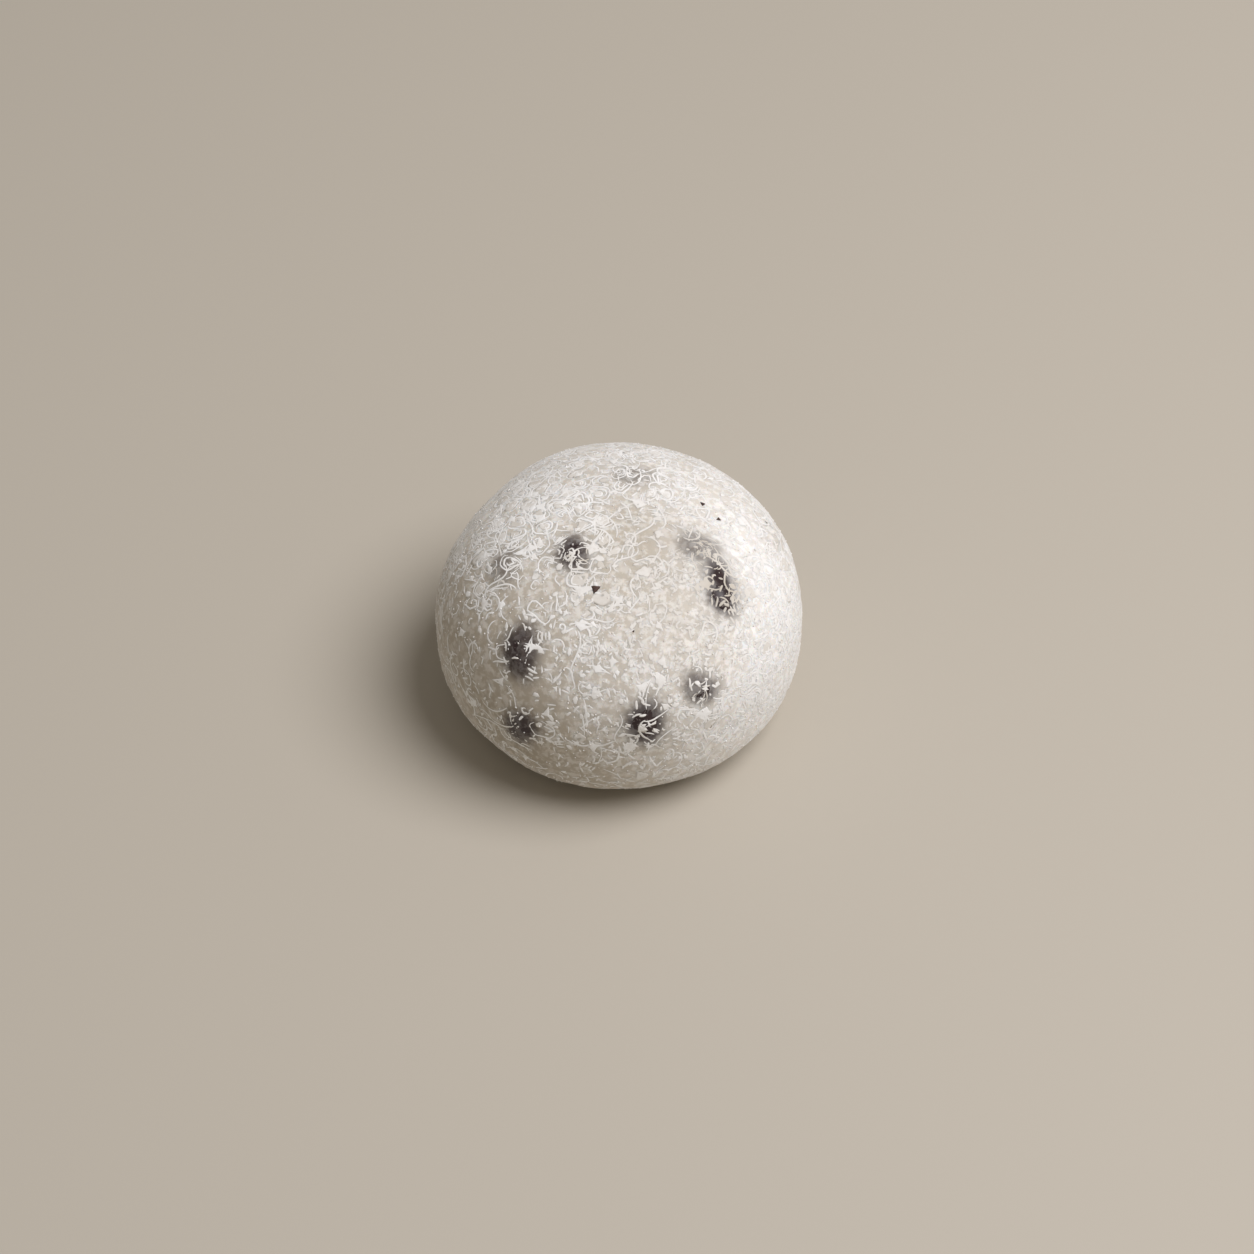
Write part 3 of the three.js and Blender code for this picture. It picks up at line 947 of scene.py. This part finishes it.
# The seed coat of a cooked bean: dark purple-brown, moist and softly glossy, with starch in its wrinkles.
def cookedSeedCoat(tree):
    look = seedCoatLook
    place = addNode(tree, "ShaderNodeTexCoord", {}, {}, "Object")
    mottle = addNode(tree, "ShaderNodeTexNoise", {}, {
        "Vector": place, "Scale": perMetre(look["mottleSize"]), "Detail": softDetail})
    coat = addNode(tree, "ShaderNodeMix", {"data_type": "RGBA"}, {
        "Factor": mottle, 6: colour(look["dark"]), 7: colour(look["light"])}, 2)
    specks = addNode(tree, "ShaderNodeTexNoise", {}, {
        "Vector": place, "Scale": perMetre(look["caughtSize"]), "Detail": crispDetail})
    caught = addNode(tree, "ShaderNodeMapRange", {"interpolation_type": "SMOOTHSTEP"}, {
        "Value": specks, "From Min": look["caughtEdges"][0], "From Max": look["caughtEdges"][1],
        "To Min": 0.0, "To Max": look["caughtMost"]})
    tone = addNode(tree, "ShaderNodeMix", {"data_type": "RGBA"}, {
        "Factor": caught, 6: coat, 7: colour(look["caught"])}, 2)
    roughness = addNode(tree, "ShaderNodeMapRange", {}, {
        "Value": mottle, "From Min": look["mottleEdges"][0], "From Max": look["mottleEdges"][1],
        "To Min": look["roughness"][0], "To Max": look["roughness"][1]})
    wrinkles = addNode(tree, "ShaderNodeTexNoise", {}, {
        "Vector": place, "Scale": perMetre(look["wrinkleSize"]), "Detail": crispDetail})
    bump = addNode(tree, "ShaderNodeBump", {}, {
        "Height": wrinkles, "Strength": look["wrinkleStrength"],
        "Distance": look["wrinkleHeight"] * millimetre})
    return addNode(tree, "ShaderNodeBsdfPrincipled", {}, {
        "Base Color": tone, "Roughness": roughness, "Normal": bump, "IOR": look["ior"]})


huskLook = {"dark": "#2c1f1c", "light": "#5a4238", "unevenSize": 0.4, "roughness": 0.7, "ior": 1.45}


# Dry flecks of seed coat: reddish brown and papery.
def drySeedCoat(tree):
    look = huskLook
    place = addNode(tree, "ShaderNodeTexCoord", {}, {}, "Object")
    uneven = addNode(tree, "ShaderNodeTexNoise", {}, {
        "Vector": place, "Scale": perMetre(look["unevenSize"]), "Detail": softDetail})
    tone = addNode(tree, "ShaderNodeMix", {"data_type": "RGBA"}, {
        "Factor": uneven, 6: colour(look["dark"]), 7: colour(look["light"])}, 2)
    return addNode(tree, "ShaderNodeBsdfPrincipled", {}, {
        "Base Color": tone, "Roughness": look["roughness"], "IOR": look["ior"]})


# Puts a camera or a light at one place and turns it towards another.
def pointAt(item, place, target):
    item.location = Vector(place) * millimetre
    item.rotation_mode = "QUATERNION"
    item.rotation_quaternion = (Vector(target) - Vector(place)).to_track_quat("-Z", "Y")


camera = {
    "elevation": 48.5, "distance": 430.0, "aim": (1.27, 0.0, 11.56),
    "lens": 85.0, "sensor": 36.0,
    "nearest": 10.0,  # mm from which things are drawn
}


def makeCamera():
    data = bpy.data.cameras.new("camera")
    data.lens = camera["lens"]
    data.sensor_width = camera["sensor"]
    data.clip_start = camera["nearest"] * millimetre
    item = bpy.data.objects.new("camera", data)
    bpy.context.scene.collection.objects.link(item)
    aim = np.array(camera["aim"])
    pointAt(item, aim + camera["distance"] * towards(-90, camera["elevation"]), aim)
    bpy.context.scene.camera = item


def makeSoftLight(name, hexCode, bearing, rise, distance, width, watts):
    data = bpy.data.lights.new(name, "AREA")
    data.color = colour(hexCode)[:3]
    data.shape = "DISK"
    data.size = width * millimetre
    data.energy = watts
    light = bpy.data.objects.new(name, data)
    bpy.context.scene.collection.objects.link(light)
    pointAt(light, middle + distance * towards(bearing, rise), middle)


studio = {
    "tableSize": 3000.0, "tableColour": "#bbb4a7", "tableRoughness": 0.6,
    "keyLight": (-12, 61, 1000, 700, 9.8),  # bearing, rise, distance in mm, width in mm and power in watts
    "keyColour": "#fefcff",
    "room": 0.285, "roomColour": "#f3ebe0",  # strength and colour of the light from all round
}


# Matt paint on a wide board: pale and even, so that only the cake's soft shadow shows on it.
def paleMattTable(tree):
    return addNode(tree, "ShaderNodeBsdfPrincipled", {}, {
        "Base Color": colour(studio["tableColour"]), "Roughness": studio["tableRoughness"]})


def makeStage():
    half = studio["tableSize"] * millimetre / 2
    mesh = bpy.data.meshes.new("table")
    corners = [(-half, -half, 0), (half, -half, 0), (half, half, 0), (-half, half, 0)]
    mesh.from_pydata(corners, [], [(0, 1, 2, 3)])
    mesh.materials.append(makeMaterial("paleMattTable", paleMattTable))
    table = bpy.data.objects.new("table", mesh)
    bpy.context.scene.collection.objects.link(table)
    makeSoftLight("keyLight", studio["keyColour"], *studio["keyLight"])
    world = bpy.data.worlds.new("room")
    world.use_nodes = True
    world.node_tree.nodes["Background"].inputs["Color"].default_value = colour(studio["roomColour"])
    world.node_tree.nodes["Background"].inputs["Strength"].default_value = studio["room"]
    bpy.context.scene.world = world
    bpy.context.scene.view_settings.view_transform = "Standard"


makeDough(makeMaterial("starchedRiceDough", starchedRiceDough))
seedCoat = makeMaterial("cookedSeedCoat", cookedSeedCoat)
for beanName in beans:
    makeBean(beanName, seedCoat)
starch = makeMaterial("cakedPotatoStarch", cakedPotatoStarch)
makeStrands("starchCurls", curls, starch)
makeStrands("starchThreads", threads, starch)
makeStrands("starchTangles", tangles, starch)
makeDashes(starch)
makeCells(starch)
makeFlakes("starchFlakes", flakes, starch)
makeFlakes("starchSmudges", smudges, starch)
makeGrains(starch)
makeHusks(makeMaterial("drySeedCoat", drySeedCoat))
print("cake made")

makeStage()
makeCamera()
print("stage and camera made")
